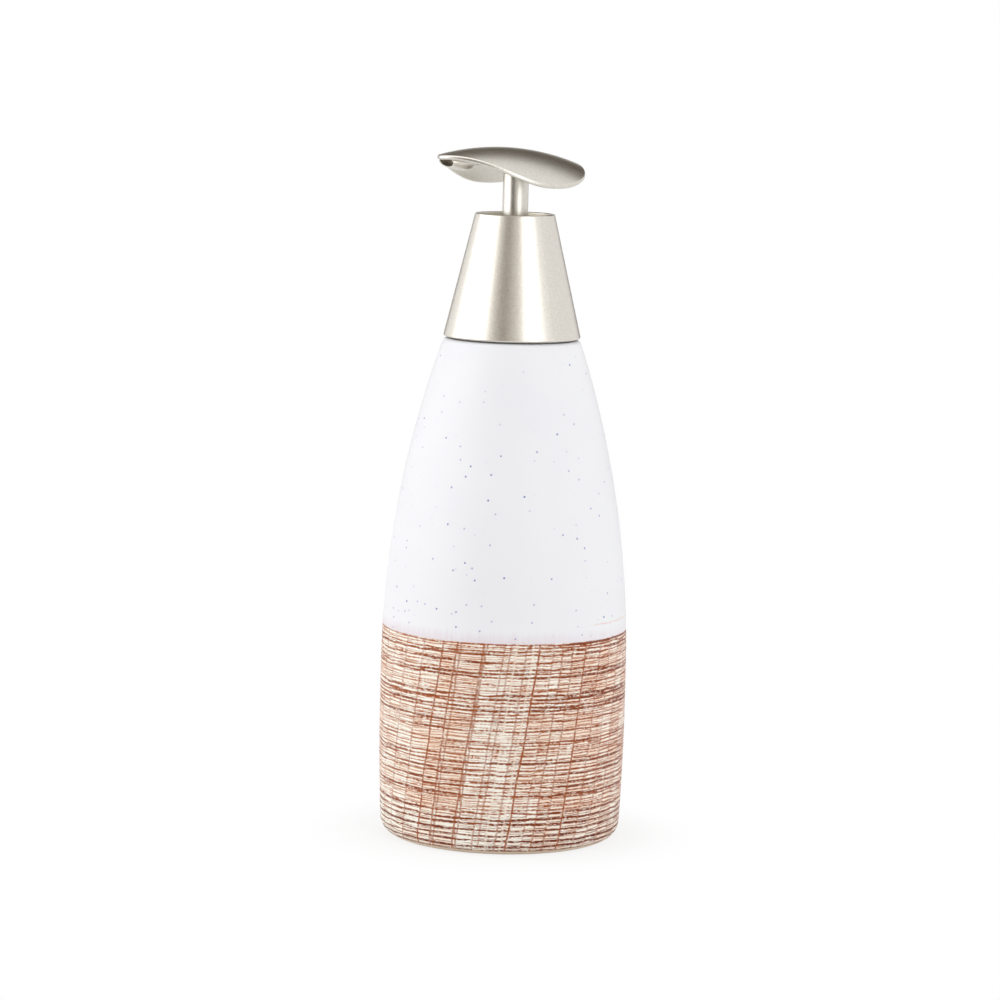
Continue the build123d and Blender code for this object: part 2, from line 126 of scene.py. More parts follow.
# Ink of the strokes: about every third is strong, low ones take more, and it comes and goes along each.
# The stray stroke shows on one side only: the sine of the turn where it starts, and how soon it is full
STRONG_INK = (0.8, 1.05)
FAINT_INK = (0.4, 0.7)
LOW_INK = 0.35
TOP_INK = 0.9
STRAY_INK = 0.5
INK_FADE = 0.45
BARE_BLOCK_INK = 0.6
RUST_TURN = 0.3
STRAY_START = 0.55
STRAY_RISE = 0.25
STROKE_WAVES = 40
FADE_WAVES = 20

# Slanted strokes across them: millimetres round the bottle from the middle of the view, how dark the
# stroke is, less than nothing where it wiped the brown away, and how much brown lies to its right
SLANTS = (
    (-46.0, 0.4, 0.45), (-41.0, 0.3, 0.50), (-35.0, 0.4, 0.48), (-28.3, 0.5, 0.62), (-21.9, 0.9, 0.76),
    (-17.4, 0.8, 0.55), (-16.2, 0.6, 0.68), (-9.9, 0.8, 0.35), (-8.9, 0.6, 0.46), (-3.9, 0.5, 0.44),
    (-2.1, 0.5, 0.52), (-0.3, -0.4, 0.42), (2.5, 0.5, 0.55), (4.3, -0.4, 0.45), (5.9, 1.0, 0.66),
    (10.3, 0.4, 0.62), (13.2, 0.6, 0.72), (16.7, 0.5, 0.78), (21.2, 0.9, 0.86), (26.9, 0.5, 0.80),
    (31.7, 0.4, 0.72), (36.6, 0.5, 0.80), (42.0, 0.4, 0.76), (47.0, 0.5, 0.70),
)
# Slants past the end of the table are drawn between these. All of them lean and waver, and the brown
# between them is blotchy
SLANT_GAPS = (2.2, 7.0)
SLANT_INK = (0.3, 1.0)
SLANT_BROWN = (0.4, 0.9)
SLANT_LEAN = 0.145
SLANT_RIPPLE = 0.2
SLANT_WAVES = 8
BLOTCH = 0.14
BLOTCH_WAVES = 12


def linear(code):
    """Linear colour of an sRGB hex value."""
    parts = [int(code[i : i + 2], 16) / 255 for i in (1, 3, 5)]
    return tuple(p / 12.92 if p <= 0.04045 else ((p + 0.055) / 1.055) ** 2.4 for p in parts) + (1.0,)


def per_mm(size):
    """Texture scale at which a pattern's features are this many millimetres across."""
    return 1 / (size * MM)


def node(tree, kind, links=None, give=0, **settings):
    """Adds a node and returns one of its outputs.
    Links are its sockets' values or what feeds them, settings are its properties."""
    made = tree.nodes.new("ShaderNode" + kind)
    for key, value in settings.items():
        setattr(made, key, value)
    for socket, value in (links or {}).items():
        if isinstance(value, bpy.types.NodeSocket):
            tree.links.new(value, made.inputs[socket])
        else:
            made.inputs[socket].default_value = value
    return made.outputs[give]


def new_material(name, **sockets):
    """A principled material with plain values on its shader's sockets."""
    material = bpy.data.materials.new(name)
    material.use_nodes = True
    shader = material.node_tree.nodes["Principled BSDF"]
    for socket, value in sockets.items():
        shader.inputs[socket.replace("_", " ")].default_value = value
    return material, material.node_tree, shader


def tangent_arc(start, heading, end, steps):
    """Points of the arc that leaves start along heading and reaches end, and the heading there."""
    start, heading, chord = np.array(start), np.array(heading), np.array(end) - np.array(start)
    side = np.array((-heading[1], heading[0]))
    turn = 2 * math.atan2(chord @ side, chord @ heading)
    radius = (chord @ chord) / (2 * (chord @ side))
    t = np.linspace(0, turn, steps + 1)[:, None]
    points = start + radius * (np.sin(t) * heading + (1 - np.cos(t)) * side)
    return points, math.cos(turn) * heading + math.sin(turn) * side


def run_of(points):
    """Distance of each point of a line from its start."""
    return np.concatenate(([0], np.cumsum(np.hypot(*np.diff(points, axis=0).T))))


def angles(count):
    """So many angles, evenly round a circle."""
    return np.arange(count) * 2 * np.pi / count


def ring_mesh(name, rings):
    """Mesh through a stack of rings, an array of rows, columns and millimetre points.
    A fan closes the ring at either end, and its middle points come last."""
    count, columns = rings.shape[:2]
    vertices = list(rings.reshape(-1, 3) * MM)
    index = np.arange(count * columns).reshape(count, columns)
    following = np.roll(index, -1, axis=1)
    quads = np.stack([index[:-1], following[:-1], following[1:], index[1:]], axis=-1).reshape(-1, 4)
    faces = [tuple(q) for q in quads.tolist()]
    for row, flip in ((0, True), (count - 1, False)):
        centre = len(vertices)
        vertices.append(rings[row].mean(axis=0) * MM)
        for a, b in zip(index[row].tolist(), following[row].tolist()):
            faces.append((centre, b, a) if flip else (centre, a, b))
    mesh = bpy.data.meshes.new(name)
    mesh.from_pydata([tuple(v) for v in vertices], [], faces)
    mesh.update()
    mesh.polygons.foreach_set("use_smooth", [True] * len(mesh.polygons))
    mesh.set_sharp_from_angle(angle=math.radians(SHARP_CREASE))
    piece = bpy.data.objects.new(name, mesh)
    bpy.context.scene.collection.objects.link(piece)
    return piece


def unroll(mesh, rows, columns):
    """Flat map of a mesh of rings: its columns run across, and rows are the rings' places up the map."""
    column = np.append(np.tile(np.arange(columns), len(rows)), [0, 0])
    upright = np.append(np.repeat(rows, columns), [rows[0], rows[-1]])
    places = []
    for face in mesh.polygons:
        across = [int(column[v]) for v in face.vertices]
        wraps = max(across[-2:]) == columns - 1 and min(across[-2:]) == 0
        for v in face.vertices:
            u = columns if wraps and column[v] == 0 else column[v]
            places += [u / columns, float(upright[v])]
    mesh.uv_layers.new(name="OFBake").data.foreach_set("uv", places)


def turned(radius, height):
    """Rings about the bottle's axis, from a radius for each row and column and a height for each row."""
    columns = radius.shape[1]
    angle = angles(columns)
    height = np.repeat(height[:, None], columns, axis=1)
    return np.stack([radius * np.cos(angle), radius * np.sin(angle), height], axis=-1)


def ripple(random, reach, waves, angle):
    """A smooth random line, within reach either way, that closes on itself after a whole turn of angle."""
    order = np.arange(1, waves + 1)[:, None]
    size = random.normal(size=(waves, 1)) / order**0.6
    phase = random.uniform(0, 2 * np.pi, (waves, 1))
    line = (size * np.sin(order * angle + phase)).sum(axis=0)
    return reach * line / np.abs(line).max()


def nearest_line(lines, place):
    """For each place: the nearest line's number, how many lines lie below it, and the distance,
    whose sign changes at every line, so that it passes through zero there and nowhere else."""
    gap = place[:, None] - lines
    below = (gap > 0).sum(axis=1)
    nearest = np.abs(gap).argmin(axis=1)
    distance = np.abs(gap).min(axis=1) * np.where(below % 2, -1, 1)
    return nearest, below, distance


def slanted_strokes(random, height, around, girth):
    """The slants that cut the band into blocks, from the table and then at random on round the back.
    Gives their count and, for each row and column, the distance to the nearest slant, that slant's ink,
    the block's number and how brown the block is."""
    slants = [list(slant) for slant in SLANTS]
    while slants[-1][0] < girth + SLANTS[0][0] - 2 * SLANT_GAPS[0]:
        place = slants[-1][0] + random.uniform(*SLANT_GAPS)
        slants.append([place, random.uniform(*SLANT_INK), random.uniform(*SLANT_BROWN)])
    # An even number of slants, so that the sign of the distance fits where the band closes on itself
    slants = np.array(slants[: len(slants) // 2 * 2])
    count = len(slants)
    climb = height / BAND_TOP * np.pi
    wave = np.array([ripple(random, SLANT_RIPPLE, SLANT_WAVES, climb) for s in slants])
    crossings = slants[:, :1] + SLANT_LEAN * (height - BAND_TOP / 2) + wave
    crossings = np.concatenate([crossings - girth, crossings, crossings + girth])
    around = np.repeat(around[None], len(height), axis=0)
    nearest, left, gap = nearest_line(crossings.T[:, :, None], around)
    block = (left - 1) % count
    blotch = np.array([ripple(random, BLOTCH, BLOTCH_WAVES, climb) for s in slants])
    brown = np.clip(slants[block, 2] + blotch[block, np.arange(len(height))[:, None]], 0, 1)
    return count, gap, slants[nearest % count, 1], block, brown


def round_strokes(random, angle, facing):
    """The strokes round the bottle from the foot up: each one's height at each column, its ink, and how
    that comes and goes along it. The last is the stray one, which shows only on the right of the view."""
    rounds = [STRAY_STROKE, BAND_TOP - BAND_EDGE]
    while rounds[-1] > LOWEST_STROKE:
        gaps = LOW_STROKE_GAPS if rounds[-1] < LOW_STROKES_TOP else STROKE_GAPS
        rounds.append(rounds[-1] - random.uniform(*gaps))
    rounds = np.array(rounds[::-1])
    count = len(rounds)
    lines = np.array([z + ripple(random, STROKE_RIPPLE, STROKE_WAVES, angle) for z in rounds])
    strong = (np.arange(count) + random.integers(0, 2, count)) % 3 == 0
    ink = np.where(strong, random.uniform(*STRONG_INK, count), random.uniform(*FAINT_INK, count))
    ink[rounds < LOW_STROKES_TOP] += LOW_INK
    ink[-2:] = TOP_INK, STRAY_INK
    fade = np.array([1 + ripple(random, INK_FADE, FADE_WAVES, angle) for z in rounds])
    fade[-1] = np.clip((np.sin(angle - facing) - STRAY_START) / STRAY_RISE, 0, 1)
    return lines, ink, fade


def brushed_band(height, columns):
    """Where the brush went over the band: distances and ink of the strokes at each row and column."""
    random = np.random.default_rng(BAND_SEED)
    angle = angles(columns)
    facing = math.radians(CAMERA_TURN - 90)
    girth = 2 * np.pi * BELLY_LOW[0]
    around = np.remainder(angle - facing + np.pi, 2 * np.pi) - np.pi
    around = around / (2 * np.pi) * girth
    count, slant_gap, slant_ink, block, brown = slanted_strokes(random, height, around, girth)
    lines, ink, fade = round_strokes(random, angle, facing)
    shift = random.uniform(-STROKE_SHIFT, STROKE_SHIFT, count)
    stroke, _, stroke_gap = nearest_line(lines[None], height[:, None] + shift[block])
    stroke_ink = ink[stroke] * fade[stroke, np.arange(columns)]
    stroke_ink = stroke_ink * (BARE_BLOCK_INK + (1 - BARE_BLOCK_INK) * brown)
    right = 0.5 + 0.5 * np.sin(angle - facing - RUST_TURN)
    return {
        "stroke_gap": stroke_gap,
        "stroke_ink": np.clip(stroke_ink, 0, 1),
        "slant_gap": slant_gap,
        "slant_ink": slant_ink,
        "block_ink": brown,
        "block_shift": shift[block] / STROKE_SHIFT,
        "right": np.repeat(right[None], len(height), axis=0),
    }


def stoneware_body():
    """The bottle with its brush strokes pressed into the wall of the band."""
    barrel, heading = tangent_arc(BELLY_LOW, (0, -1), BASE_EDGE, steps=60)
    corner, _ = tangent_arc(BASE_EDGE, heading, (FOOT_RADIUS, 0), steps=40)
    shoulder, heading = tangent_arc(BELLY_HIGH, (0, 1), SHOULDER, steps=120)
    brow, _ = tangent_arc(SHOULDER, heading, LEDGE, steps=12)
    wall = np.vstack([corner[::-1], barrel[-2::-1], shoulder, brow[1:]])
    run = run_of(wall)
    girdle = np.interp(STRAY_STROKE + 1, wall[:, 1], run)
    brow_start = run[-len(brow)]
    places = np.concatenate(
        [
            np.arange(0, girdle, BAND_ROW_STEP),
            np.arange(girdle, brow_start, UPPER_ROW_STEP),
            np.linspace(brow_start, run[-1], BROW_ROWS),
        ]
    )
    outside = np.column_stack([np.interp(places, run, wall[:, i]) for i in (0, 1)])
    # The inside is seldom seen, so its rows are coarser
    inner_radius = BELLY_HIGH[0] - WALL
    inside_arc = (shoulder - np.array((WALL, 0)))[shoulder[:, 1] < INNER_TOP][::8]
    corner_turn = np.linspace(0, np.pi / 2, 8)
    floor_corner = np.column_stack(
        [
            inner_radius - FLOOR_CORNER + FLOOR_CORNER * np.cos(corner_turn),
            FLOOR + FLOOR_CORNER - FLOOR_CORNER * np.sin(corner_turn),
        ]
    )
    underside = np.array(
        [
            (AXIS_GAP, FOOT_RECESS_DEPTH),
            (FOOT_RECESS_RADIUS, FOOT_RECESS_DEPTH),
            (FOOT_RECESS_RADIUS + FOOT_RECESS_SLOPE, 0),
        ]
    )
    neck = np.array([(NECK_HOLE_RADIUS, LEDGE[1]), (NECK_HOLE_RADIUS, NECK_UNDERSIDE)])
    profile = np.vstack([underside, outside, neck, inside_arc[::-1], floor_corner, [(AXIS_GAP, FLOOR)]])
    first, last = len(underside), len(underside) + len(outside)

    band = brushed_band(outside[:, 1], BOTTLE_COLUMNS)
    groove = np.clip(1 - np.abs(band["stroke_gap"]) / STROKE_HALF_WIDTH, 0, 1)
    groove = groove * groove * (3 - 2 * groove) * band["stroke_ink"]
    low_fade = np.clip((outside[:, 1] - GROOVES_START) / GROOVES_RISE, 0, 1)
    top_fade = np.clip((BAND_TOP + BAND_EDGE - outside[:, 1]) / BAND_EDGE, 0, 1)
    groove *= (low_fade * top_fade)[:, None]
    radius = np.repeat(profile[:, :1], BOTTLE_COLUMNS, axis=1)
    radius[first:last] -= STROKE_DEPTH * groove
    piece = ring_mesh("stoneware_bottle", turned(radius, profile[:, 1]))
    unroll(piece.data, map_rows(profile, first, last), BOTTLE_COLUMNS)
    band["outside"] = np.ones_like(groove)
    for name, values in band.items():
        full = np.zeros((len(profile), BOTTLE_COLUMNS))
        full[first:last] = values
        mark = piece.data.attributes.new(name, "FLOAT", "POINT")
        mark.data.foreach_set("value", np.append(full.ravel(), [0, 0]).astype(np.float32))
    return piece


def map_rows(profile, first, last):
    """Places of the bottle's rows up its map: most of the map goes to the band, where the detail is."""
    height = profile[first:last, 1]
    share = np.where(height < BAND_MAP_TOP, BAND_MAP_SHARE, 1.0)
    steps = np.diff(run_of(profile))
    weight = np.full(len(steps), HIDDEN_MAP_SHARE)
    weight[first : last - 1] = share[1:]
    run = np.concatenate(([0], np.cumsum(steps * weight)))
    return run / run[-1]


def glazed_stoneware():
    """Stoneware, dipped in white glaze and brushed with iron oxide over the foot.
    The glaze fires satin white with blue specks; the rust lies in scratches of the brush over bare white."""
    material, tree, shader = new_material(
        "glazed_stoneware", IOR=1.5, Roughness=0.45, Specular_IOR_Level=0.25
    )
    soft = {"interpolation_type": "SMOOTHSTEP"}
    tint = {"data_type": "RGBA", "give": 2}
    point = node(tree, "TexCoord", give="Object")
    height = node(tree, "SeparateXYZ", {0: point}, give="Z")
    marks = {
        name: node(tree, "Attribute", give="Fac", attribute_name=name)
        for name in (
            "stroke_gap", "stroke_ink", "slant_gap", "slant_ink",
            "block_ink", "block_shift", "right", "outside",
        )
    }

    # Hair marks of the brush roughen every stroke's edge and leave it bare in flecks
    jag = node(tree, "TexNoise", {"Vector": point, "Scale": per_mm(0.8), "Detail": 3.0})
    fleck = node(tree, "TexNoise", {"Vector": point, "Scale": per_mm(1.0), "Detail": 2.0})
    fleck = node(tree, "MapRange", {0: fleck, 1: 0.34, 2: 0.5, 3: 0.5, 4: 1.0}, **soft)
    drift = node(tree, "TexNoise", {"Vector": point, "Scale": per_mm(22.0), "Detail": 1.0})
    patch = node(tree, "TexNoise", {"Vector": point, "Scale": per_mm(5.0), "Detail": 4.0})

    # Strokes round the bottle: the more ink, the wider and the darker
    away = node(tree, "Math", {0: marks["stroke_gap"]}, operation="ABSOLUTE")
    away = node(tree, "Math", {0: jag, 1: 0.6, 2: away}, operation="MULTIPLY_ADD")
    away = node(tree, "Math", {0: marks["stroke_ink"], 1: -0.38, 2: away}, operation="MULTIPLY_ADD")
    stroke = node(tree, "MapRange", {0: away, 1: 0.2, 2: 0.32, 3: 1.0, 4: 0.0}, **soft)
    depth = node(tree, "MapRange", {0: marks["stroke_ink"], 1: 0.0, 2: 0.5, 3: 0.0, 4: 1.0})
    stroke = node(tree, "Math", {0: stroke, 1: depth}, operation="MULTIPLY")
    stroke = node(tree, "Math", {0: stroke, 1: fleck}, operation="MULTIPLY")

    # Finer strokes between them, which break off at every slant
    level = node(tree, "Math", {0: height, 1: per_mm(0.66)}, operation="MULTIPLY")
    level = node(tree, "Math", {0: drift, 1: 4.0, 2: level}, operation="MULTIPLY_ADD")
    level = node(tree, "Math", {0: jag, 1: 0.5, 2: level}, operation="MULTIPLY_ADD")
    level = node(tree, "Math", {0: marks["block_shift"], 1: 7.0, 2: level}, operation="MULTIPLY_ADD")
    hair = node(tree, "TexVoronoi", {"W": level, "Scale": 1.0}, give="Distance", voronoi_dimensions="1D")
    hair = node(tree, "MapRange", {0: hair, 1: 0.1, 2: 0.22, 3: 0.8, 4: 0.0}, **soft)
    dash = node(tree, "Math", {0: marks["block_ink"], 1: 0.3, 2: patch}, operation="MULTIPLY_ADD")
    dash = node(tree, "MapRange", {0: dash, 1: 0.42, 2: 0.74, 3: 0.15, 4: 1.0}, **soft)
    hair = node(tree, "Math", {0: hair, 1: dash}, operation="MULTIPLY")

    # Slanted strokes across, dark or wiped
    cross = node(tree, "Math", {0: marks["slant_gap"]}, operation="ABSOLUTE")
    cross = node(tree, "Math", {0: jag, 1: 0.3, 2: cross}, operation="MULTIPLY_ADD")
    slant = node(tree, "MapRange", {0: cross, 1: 0.3, 2: 0.54, 3: 1.0, 4: 0.0}, **soft)
    slant = node(tree, "Math", {0: slant, 1: fleck}, operation="MULTIPLY")
    slant = node(tree, "Math", {0: slant, 1: marks["slant_ink"]}, operation="MULTIPLY", use_clamp=True)
    wiped = node(tree, "MapRange", {0: cross, 1: 0.25, 2: 0.6, 3: -1.0, 4: 0.0}, **soft)
    wiped = node(tree, "Math", {0: wiped, 1: marks["slant_ink"]}, operation="MULTIPLY", use_clamp=True)

    # Colours of the band: white ground, a wash from peach on the left to rust on the right, then strokes
    wash = node(tree, "Math", {0: patch, 1: marks["block_ink"]}, operation="MULTIPLY")
    wash = node(tree, "MapRange", {0: wash, 1: 0.12, 2: 0.6, 3: 0.0, 4: 0.44}, **soft)
    colour = node(tree, "Mix", {0: marks["right"], 6: linear("#F2B078"), 7: linear("#DA8A50")}, **tint)
    colour = node(tree, "Mix", {0: wash, 6: linear("#FFFCF0"), 7: colour}, **tint)
    much = marks["stroke_ink"]
    left_ink = node(tree, "Mix", {0: much, 6: linear("#CE7638"), 7: linear("#8C3E10")}, **tint)
    right_ink = node(tree, "Mix", {0: much, 6: linear("#BE6632"), 7: linear("#7C320E")}, **tint)
    ink = node(tree, "Mix", {0: marks["right"], 6: left_ink, 7: right_ink}, **tint)
    foot = node(tree, "MapRange", {0: height, 1: 4 * MM, 2: 16 * MM, 3: 0.6, 4: 0.0}, **soft)
    ink = node(tree, "Mix", {0: foot, 6: ink, 7: linear("#5E2014")}, **tint)
    colour = node(tree, "Mix", {0: hair, 6: colour, 7: ink}, **tint)
    colour = node(tree, "Mix", {0: stroke, 6: colour, 7: ink}, **tint)
    colour = node(tree, "Mix", {0: wiped, 6: colour, 7: linear("#FFF3E2")}, **tint)
    colour = node(tree, "Mix", {0: slant, 6: colour, 7: linear("#A25222")}, **tint)

    # White glaze above: faint lavender, with blue specks some millimetres apart, most of them faint
    speck = node(tree, "TexVoronoi", {"Vector": point, "Scale": per_mm(3.0)}, give="Distance")
    dot = node(tree, "MapRange", {0: speck, 1: 0.05, 2: 0.14, 3: 1.0, 4: 0.0}, **soft)
    blue = node(tree, "SeparateColor", {0: speck.node.outputs["Color"]})
    blue = node(tree, "MapRange", {0: blue, 3: 0.1, 4: 0.95}, **soft)
    dot = node(tree, "Math", {0: dot, 1: blue}, operation="MULTIPLY")
    white = node(tree, "Mix", {0: drift, 6: linear("#F4F4F6"), 7: linear("#EEEEF2")}, **tint)
    white = node(tree, "Mix", {0: dot, 6: white, 7: linear("#5C66B0")}, **tint)

    # Pink halo where the rust bled up into the white in upright fringes, and the faint stray stroke
    upright = node(tree, "Mapping", {"Vector": point, "Scale": (1.0, 1.0, 0.12)})
    fringe = node(tree, "TexNoise", {"Vector": upright, "Scale": per_mm(1.1), "Detail": 2.0})
    rise = node(tree, "Math", {0: fringe, 1: 4.0 * MM, 2: height}, operation="MULTIPLY_ADD")
    low, high = (BAND_TOP + 0.8) * MM, (BAND_TOP + 6.0) * MM
    halo = node(tree, "MapRange", {0: rise, 1: low, 2: high, 3: 0.6, 4: 0.0}, **soft)
    ebb = node(tree, "MapRange", {0: marks["right"], 1: 0.3, 2: 1.0, 3: 1.0, 4: 0.4}, **soft)
    halo = node(tree, "Math", {0: halo, 1: ebb}, operation="MULTIPLY")
    white = node(tree, "Mix", {0: halo, 6: white, 7: linear("#E2CFD6")}, **tint)
    white = node(tree, "Mix", {0: stroke, 6: white, 7: linear("#EBCFC8")}, **tint)

    # The band ends at a ragged edge and lies on the outside; the foot is bare clay
    edge = node(tree, "Math", {0: jag, 1: 0.5 * MM, 2: height}, operation="MULTIPLY_ADD")
    low, high = (BAND_TOP + 0.15) * MM, (BAND_TOP + 0.35) * MM
    inside = node(tree, "MapRange", {0: edge, 1: low, 2: high, 3: 1.0, 4: 0.0})
    inside = node(tree, "Math", {0: inside, 1: marks["outside"]}, operation="MULTIPLY")
    clay = node(tree, "MapRange", {0: edge, 1: 1.2 * MM, 2: 1.9 * MM, 3: 1.0, 4: 0.0}, **soft)
    colour = node(tree, "Mix", {0: inside, 6: white, 7: colour}, **tint)
    colour = node(tree, "Mix", {0: clay, 6: colour, 7: linear("#E9D6BE")}, **tint)
    tree.links.new(colour, shader.inputs["Base Color"])

    # Strokes are shallow scratches
    scratch = node(tree, "Math", {0: stroke, 1: slant}, operation="MAXIMUM")
    scratch = node(tree, "Math", {0: scratch, 1: inside}, operation="MULTIPLY")
    relief = node(tree, "Math", {0: 1.0, 1: scratch}, operation="SUBTRACT")
    bump = node(tree, "Bump", {"Height": relief, "Strength": 0.6, "Distance": 0.08 * MM})
    tree.links.new(bump, shader.inputs["Normal"])
    return material


def pearl_nickel_plating():
    """Pearl nickel plating over a blasted surface: a warm metal whose fine grain blurs every reflection."""
    material, tree, shader = new_material("pearl_nickel_plating", Metallic=1.0)
    point = node(tree, "TexCoord", give="Object")
    # The blasted grain is about 0.05 mm, drawn at 0.5 mm so that it shows
    grain = node(tree, "TexNoise", {"Vector": point, "Scale": per_mm(0.5), "Detail": 2.0})
    glint = node(tree, "MapRange", {0: grain, 1: 0.3, 2: 0.7})
    shades = {6: linear("#D5CFC4"), 7: linear("#E1DED7")}
    colour = node(tree, "Mix", {0: glint, **shades}, give=2, data_type="RGBA")
    rough = node(tree, "MapRange", {0: grain, 3: 0.26, 4: 0.4})
    bump = node(tree, "Bump", {"Height": grain, "Strength": 0.5, "Distance": 0.02 * MM})
    tree.links.new(colour, shader.inputs["Base Color"])
    tree.links.new(rough, shader.inputs["Roughness"])
    tree.links.new(bump, shader.inputs["Normal"])
    return material


def plastic(name, light, dark, rough, flow):
    """Plastic: an even colour with faint clouds some millimetres across, not all of them equally glossy."""
    material, tree, shader = new_material(name, IOR=1.5)
    point = node(tree, "TexCoord", give="Object")
    cloud = node(tree, "TexNoise", {"Vector": point, "Scale": per_mm(flow), "Detail": 2.0})
    colour = node(tree, "Mix", {0: cloud, 6: linear(light), 7: linear(dark)}, give=2, data_type="RGBA")
    spread = node(tree, "MapRange", {0: cloud, 3: rough - 0.06, 4: rough + 0.06})
    tree.links.new(colour, shader.inputs["Base Color"])
    tree.links.new(spread, shader.inputs["Roughness"])
    return material


def steel(name, light, dark, rough, grain):
    """Stainless steel: a grey metal, with fine marks of how it was made in its colour and its shine."""
    material, tree, shader = new_material(name, Metallic=1.0)
    point = node(tree, "TexCoord", give="Object")
    mark = node(tree, "TexNoise", {"Vector": point, "Scale": per_mm(grain), "Detail": 3.0})
    colour = node(tree, "Mix", {0: mark, 6: linear(light), 7: linear(dark)}, give=2, data_type="RGBA")
    spread = node(tree, "MapRange", {0: mark, 3: rough - 0.04, 4: rough + 0.06})
    tree.links.new(colour, shader.inputs["Base Color"])
    tree.links.new(spread, shader.inputs["Roughness"])
    return material


def coil_spring():
    """The return spring's wire, one ring of points at a time along its helix."""
    low, high = (np.array(corner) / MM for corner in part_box("return_spring"))
    wire = SPRING_WIRE_RADIUS
    coil_radius = (high[0] - low[0]) / 2 - wire
    t = np.linspace(0, 1, int(SPRING_TURNS * SPRING_TURN_STEPS) + 1)
    angle = 2 * np.pi * SPRING_TURNS * t
    start, rise = low[2] + wire, high[2] - low[2] - 2 * wire
    centre = np.column_stack([coil_radius * np.cos(angle), coil_radius * np.sin(angle), start + rise * t])
    out = np.column_stack([np.cos(angle), np.sin(angle), np.zeros_like(angle)])
    slope = rise / (2 * np.pi * SPRING_TURNS * coil_radius)
    ahead = np.column_stack([-np.sin(angle), np.cos(angle), np.full_like(angle, slope)])
    ahead /= np.linalg.norm(ahead, axis=1, keepdims=True)
    up = np.cross(out, ahead)
    section = angles(SPRING_WIRE_SIDES)[None, :, None]
    rings = centre[:, None] + wire * np.cos(section) * out[:, None] + wire * np.sin(section) * up[:, None]
    return ring_mesh("spring_wire", rings)


# Pieces made here
bottle = stoneware_body()
bottle.data.materials.append(glazed_stoneware())
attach(bottle, "bottle")
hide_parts("bottle_body")

spring = coil_spring()
# Drawn steel wire: greyer and softer in its shine than the ball
spring.data.materials.append(steel("drawn_spring_wire", "#BFBDB8", "#A9A6A0", 0.25, 1.2))
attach(spring, "pump_unit")
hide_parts("return_spring")
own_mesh(spring)

# Finishes of the carried pieces
# Moulded polypropylene: milky white with a dull gloss, for the pump and the parts of the closure
polypropylene = plastic("moulded_polypropylene", "#F4F3EE", "#E9E7DF", 0.42, 6.0)
# Extruded polyethylene: a faintly green, waxy sheen on the tube
polyethylene = plastic("extruded_polyethylene", "#E4EAE6", "#D6DEDA", 0.3, 4.0)
# Moulded silicone: a matt grey with hardly any highlight, on the seals
silicone = plastic("moulded_silicone", "#DDDCD8", "#CFCDC8", 0.6, 2.0)
# Turned acetal: a warm ivory, smoother than the moulded parts
acetal = plastic("turned_acetal", "#EFECE2", "#E2DED2", 0.35, 3.0)
# Ground steel: the ball is near a mirror
ball_steel = steel("ground_ball_steel", "#CFCFCC", "#C2C2BE", 0.1, 0.4)
plating = pearl_nickel_plating()
finishes = {
    polypropylene: (
        "neck_insert", "pump_housing", "ball_cage", "chaplet", "pump_stem", "screw_cap", "spout_liner",
    ),
    polyethylene: ("dip_tube",),
    silicone: ("neck_gasket", "stem_wiper"),
    acetal: ("piston", "piston_seat"),
    ball_steel: ("inlet_ball",),
    plating: ("collar_cover", "stem_bush", "stem_sleeve", "pump_head"),
}
for finish, names in finishes.items():
    for name in names:
        nodes[name].data.materials.clear()
        nodes[name].data.materials.append(finish)


# Studio
def face_object(thing, front, turn, rise, reach):
    """Puts a lamp or card round the object, with its front to it.
    Turn is degrees to the right of the camera, rise degrees up, and reach millimetres."""
    side, up = math.radians(CAMERA_TURN + turn), math.radians(rise)
    flat = reach * math.cos(up)
    place = (flat * math.sin(side), -flat * math.cos(side), AIM_HEIGHT + reach * math.sin(up))
    thing.location = Vector(place) * MM
    aim = Vector((0, 0, AIM_HEIGHT * MM)) - thing.location
    thing.rotation_euler = aim.to_track_quat(front, "Y").to_euler()
    bpy.context.scene.collection.objects.link(thing)


def softbox(name, turn, rise, reach, width, height, power, mirrored=True):
    """A large soft lamp that faces the object. One that isn't mirrored leaves no streak on the metal."""
    light = bpy.data.lights.new(name, "AREA")
    light.shape = "RECTANGLE"
    light.size, light.size_y = width * MM, height * MM
    light.energy = power
    lamp = bpy.data.objects.new(name, light)
    lamp.visible_glossy = mirrored
    face_object(lamp, "-Z", turn, rise, reach)


def dark_card(name, turn, rise, reach, width, height, shade):
    """A flag seen only in reflections: it gives the satin plating its darker stripes and edges."""
    mesh = bpy.data.meshes.new(name)
    x, y = width * MM / 2, height * MM / 2
    mesh.from_pydata([(-x, -y, 0), (x, -y, 0), (x, y, 0), (-x, y, 0)], [], [(0, 1, 2, 3)])
    card = bpy.data.objects.new(name, mesh)
    card.visible_camera = card.visible_diffuse = card.visible_shadow = card.visible_transmission = False
    face_object(card, "Z", turn, rise, reach)
    material = bpy.data.materials.new(name)
    material.use_nodes = True
    tree = material.node_tree
    glow = node(tree, "Emission", {"Color": linear(shade)})
    tree.links.new(glow, tree.nodes["Material Output"].inputs["Surface"])
    mesh.materials.append(material)


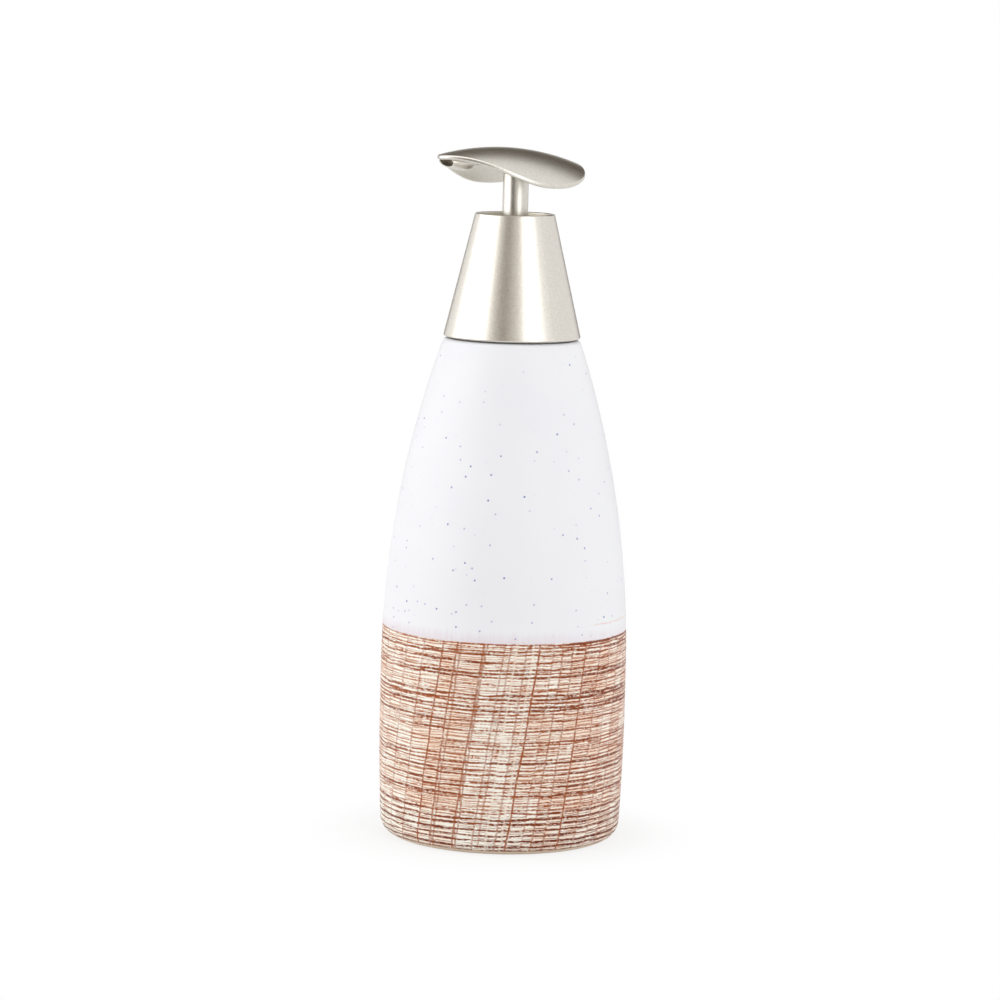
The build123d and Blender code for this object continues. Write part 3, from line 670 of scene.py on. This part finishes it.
def studio_floor():
    """A pale floor: white far off, with the object's own soft shadow near it.
    Reflections see it a little dimmer."""
    mesh = bpy.data.meshes.new("studio_floor")
    reach = GROUND_REACH * MM
    rim = [(reach * math.cos(turn), reach * math.sin(turn), 0) for turn in angles(GROUND_SIDES)]
    mesh.from_pydata(rim, [], [tuple(range(GROUND_SIDES))])
    floor = bpy.data.objects.new("studio_floor", mesh)
    bpy.context.scene.collection.objects.link(floor)
    material = bpy.data.materials.new("studio_floor")
    material.use_nodes = True
    tree = material.node_tree
    place = node(tree, "NewGeometry", give="Position")
    away = node(tree, "VectorMath", {0: place}, give="Value", operation="LENGTH")
    near, far = (edge * MM for edge in GROUND_SHADE)
    soft = {"interpolation_type": "SMOOTHSTEP"}
    bright = node(tree, "MapRange", {0: away, 1: near, 2: far, 3: SHADED_WHITE, 4: 1.0}, **soft)
    rays = node(tree, "LightPath").node.outputs
    seen = node(tree, "Math", {0: rays["Is Camera Ray"], 1: rays["Is Glossy Ray"]}, operation="MAXIMUM")
    seen = node(tree, "Math", {0: seen, 1: bright}, operation="MULTIPLY")
    matt = node(tree, "BsdfDiffuse", {"Color": linear("#F2F2F2")})
    dim = node(tree, "MapRange", {0: rays["Is Glossy Ray"], 3: 1.0, 4: GROUND_MIRRORED})
    white = node(tree, "Emission", {"Color": linear("#FFFFFF"), "Strength": dim})
    mixed = node(tree, "MixShader", {0: seen, 1: matt, 2: white})
    tree.links.new(mixed, tree.nodes["Material Output"].inputs["Surface"])
    mesh.materials.append(material)


def studio_air():
    """White all round for what the camera and the metal see, and a softer white that fills the shade."""
    world = bpy.data.worlds.new("studio_air")
    bpy.context.scene.world = world
    world.use_nodes = True
    tree = world.node_tree
    rays = node(tree, "LightPath").node.outputs
    seen = node(tree, "Math", {0: rays["Is Camera Ray"], 1: rays["Is Glossy Ray"]}, operation="MAXIMUM")
    seen = node(tree, "Math", {0: seen, 1: rays["Is Transmission Ray"]}, operation="MAXIMUM")
    strength = node(tree, "MapRange", {0: seen, 3: AIR_FILL, 4: 1.0})
    back = tree.nodes["Background"]
    back.inputs["Color"].default_value = linear("#FFFFFF")
    tree.links.new(strength, back.inputs["Strength"])


studio_floor()
studio_air()
softbox("left_softbox", -80, 22, 900, 1150, 900, 5.0)
softbox("right_softbox", 38, 20, 950, 500, 800, 2.0)
softbox("right_fill", 82, 15, 900, 500, 900, 2.2, mirrored=False)
softbox("top_softbox", -20, 78, 900, 600, 600, 1.2)
dark_card("front_flag", -14, 18, 800, 880, 760, "#D2CDC6")
dark_card("core_flag", -17, 18, 780, 260, 760, "#8E8576")
dark_card("stem_flag", -25, 1, 700, 470, 270, "#1C1812")
dark_card("rim_flag", 180, 0, 900, 900, 300, "#5A5244")
dark_card("back_flag", 178, 38, 900, 1500, 610, "#3C2C12")

camera = bpy.data.cameras.new("camera")
camera.lens = CAMERA_LENS
camera.sensor_width = CAMERA_SENSOR
camera.shift_x, camera.shift_y = CAMERA_SHIFT
viewer = bpy.data.objects.new("camera", camera)
turn = math.radians(CAMERA_TURN)
viewer.location = Vector((math.sin(turn), -math.cos(turn), 0)) * CAMERA_REACH * MM
viewer.location.z = CAMERA_HEIGHT * MM
viewer.rotation_mode = "XYZ"
viewer.rotation_euler = (math.radians(90 - CAMERA_PITCH), 0, turn)
viewer.rotation_euler.rotate_axis("Z", math.radians(CAMERA_ROLL))
bpy.context.scene.collection.objects.link(viewer)
bpy.context.scene.camera = viewer
bpy.context.scene.view_settings.view_transform = "Standard"
